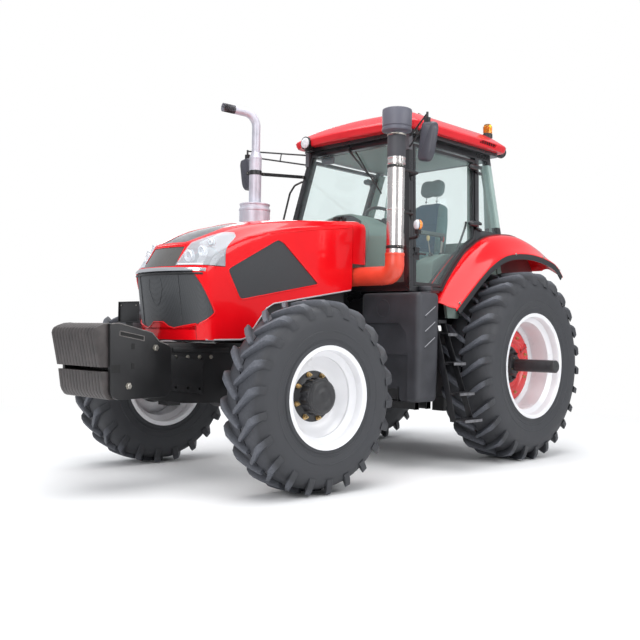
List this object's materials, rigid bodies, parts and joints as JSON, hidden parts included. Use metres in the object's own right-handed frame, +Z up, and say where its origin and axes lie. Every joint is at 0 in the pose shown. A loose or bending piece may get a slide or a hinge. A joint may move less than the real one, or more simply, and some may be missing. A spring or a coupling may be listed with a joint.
{
  "type": "farm tractor",
  "caption": "Four-wheel-drive farm tractor with enclosed cab, lifting hood, steered front axle, front ballast, rear three-point linkage, drawbar and drive shaft stub",
  "frame": {"origin": "on the ground, at the middle of the overall length and width", "axes": "+X to the tractor's left, +Y to its rear, +Z up; it faces -Y"},
  "size_m": [2.9, 5.3654, 3.36],
  "materials": {
    "red_paint": "gloss red paint",
    "white_paint": "satin off-white paint",
    "grey_paint": "satin dark grey paint",
    "black_paint": "satin black paint",
    "cast_housing": "painted dark grey castings",
    "weight_iron": "worn dark grey paint",
    "tyre_rubber": "matte black tyre rubber",
    "steel_pipe": "bright pipe",
    "hose_rubber": "orange-red silicone hose",
    "black_plastic": "textured black plastic",
    "grille_plastic": "charcoal grille",
    "tank_plastic": "textured charcoal plastic",
    "roof_plastic": "gloss red plastic",
    "lamp_lens": "clear and amber lenses",
    "cab_pane": "pale green tinted glass",
    "seat_fabric": "teal-blue woven cloth",
    "cab_plastic": "grey-green trim"
  },
  "bodies": {
    "chassis": {"axle_housings": "cast_housing", "ballast_covers": "weight_iron", "ballast_weights": "weight_iron", "boarding_steps": "black_paint", "cab_base": "black_paint", "cab_frame": "black_paint", "cab_glass": "cab_pane", "cab_roof": "roof_plastic", "cowl": "red_paint", "dash_console": "black_plastic", "drive_housing": "cast_housing", "engine_block": "cast_housing", "exhaust": "steel_pipe", "fenders": "red_paint", "front_axle": "cast_housing", "front_frame": "grey_paint", "fuel_tanks": "tank_plastic", "intake_elbow": "hose_rubber", "intake_pipe": "steel_pipe", "lamps": "lamp_lens", "mirrors": "black_plastic", "seat": "seat_fabric", "seat_base": "cab_plastic"},
    "wheel_front_left": {"tyre_front_left": "tyre_rubber", "rim_front_left": "white_paint", "hub_front_left": "black_paint"},
    "wheel_rear_left": {"tyre_rear_left": "tyre_rubber", "rim_rear_left": "white_paint", "hub_rear_left": "red_paint"},
    "knuckle_left": {"knuckle_left": "cast_housing"},
    "door_left": {"door_left": "black_paint", "door_glass_left": "cab_pane"},
    "wheel_front_right": {"tyre_front_right": "tyre_rubber", "rim_front_right": "white_paint", "hub_front_right": "black_paint"},
    "wheel_rear_right": {"tyre_rear_right": "tyre_rubber", "rim_rear_right": "white_paint", "hub_rear_right": "red_paint"},
    "knuckle_right": {"knuckle_right": "cast_housing"},
    "door_right": {"door_right": "black_paint", "door_glass_right": "cab_pane"},
    "tie_rod": {"tie_rod": "cast_housing"},
    "hood": {"hood_shell": "red_paint", "hood_mesh": "grille_plastic", "nose_grille": "grille_plastic", "headlights": "lamp_lens"},
    "steering_wheel": {"steering_wheel": "black_plastic"},
    "lower_links": {"lower_links": "black_paint"},
    "lift_arms": {"lift_arms": "black_paint"},
    "lift_rods": {"lift_rods": "black_paint"}
  },
  "joints": [
    {"name": "steer_left", "type": "hinge", "parent": "chassis", "child": "knuckle_left", "pos_m": [0.86, -1.28067, 0.715], "axis": [0, 0, 1], "range_deg": [-34.7, 41.3]},
    {"name": "steer_right", "type": "hinge", "parent": "chassis", "child": "knuckle_right", "pos_m": [-0.86, -1.28067, 0.715], "axis": [0, 0, 1], "range_deg": [-34.7, 41.3]},
    {"name": "tie_rod_pivot", "type": "hinge", "parent": "knuckle_left", "child": "tie_rod", "pos_m": [0.87324, -1.05105, 0.6], "axis": [0, 0, 1], "range_deg": [-41.3, 34.7]},
    {"name": "roll_front_left", "type": "hinge", "parent": "knuckle_left", "child": "wheel_front_left", "pos_m": [0.86, -1.28067, 0.715], "axis": [0.9983, -0.0576, 0], "continuous": true},
    {"name": "roll_rear_left", "type": "hinge", "parent": "chassis", "child": "wheel_rear_left", "pos_m": [0.98, 1.54933, 0.908], "axis": [1, 0, 0], "continuous": true},
    {"name": "roll_front_right", "type": "hinge", "parent": "knuckle_right", "child": "wheel_front_right", "pos_m": [-0.86, -1.28067, 0.715], "axis": [0.9983, -0.0576, 0], "continuous": true},
    {"name": "roll_rear_right", "type": "hinge", "parent": "chassis", "child": "wheel_rear_right", "pos_m": [-0.98, 1.54933, 0.908], "axis": [1, 0, 0], "continuous": true},
    {"name": "door_left", "type": "hinge", "parent": "chassis", "child": "door_left", "pos_m": [0.78291, 1.17902, 2.27], "axis": [-0.1579, 0.2028, 0.9664], "range_deg": [0, 75]},
    {"name": "door_right", "type": "hinge", "parent": "chassis", "child": "door_right", "pos_m": [-0.78291, 1.17902, 2.27], "axis": [-0.1579, -0.2028, -0.9664], "range_deg": [0, 75]},
    {"name": "hood_lift", "type": "hinge", "parent": "chassis", "child": "hood", "pos_m": [0, -0.23767, 2.219], "axis": [-1, 0, 0], "range_deg": [0, 50]},
    {"name": "steering_wheel_turn", "type": "hinge", "parent": "chassis", "child": "steering_wheel", "pos_m": [0, 0.72933, 2.31], "axis": [0, 0.5736, 0.8192], "continuous": true},
    {"name": "link_lift", "type": "hinge", "parent": "chassis", "child": "lower_links", "pos_m": [0, 1.79933, 0.56], "axis": [1, 0, 0], "range_deg": [-12, 31]},
    {"name": "arm_lift", "type": "hinge", "parent": "chassis", "child": "lift_arms", "pos_m": [0, 1.79933, 1.18], "axis": [1, 0, 0], "range_deg": [-12, 31]},
    {"name": "lift_rod_pivot", "type": "hinge", "parent": "lower_links", "child": "lift_rods", "pos_m": [0, 2.21703, 0.5161], "axis": [1, 0, 0], "range_deg": [-31, 12]}
  ],
  "couplings": [
    {"joint": "steer_right", "follows": "steer_left", "ratio": 1},
    {"joint": "tie_rod_pivot", "follows": "steer_left", "ratio": -1},
    {"joint": "arm_lift", "follows": "link_lift", "ratio": 1},
    {"joint": "lift_rod_pivot", "follows": "link_lift", "ratio": -1}
  ]
}
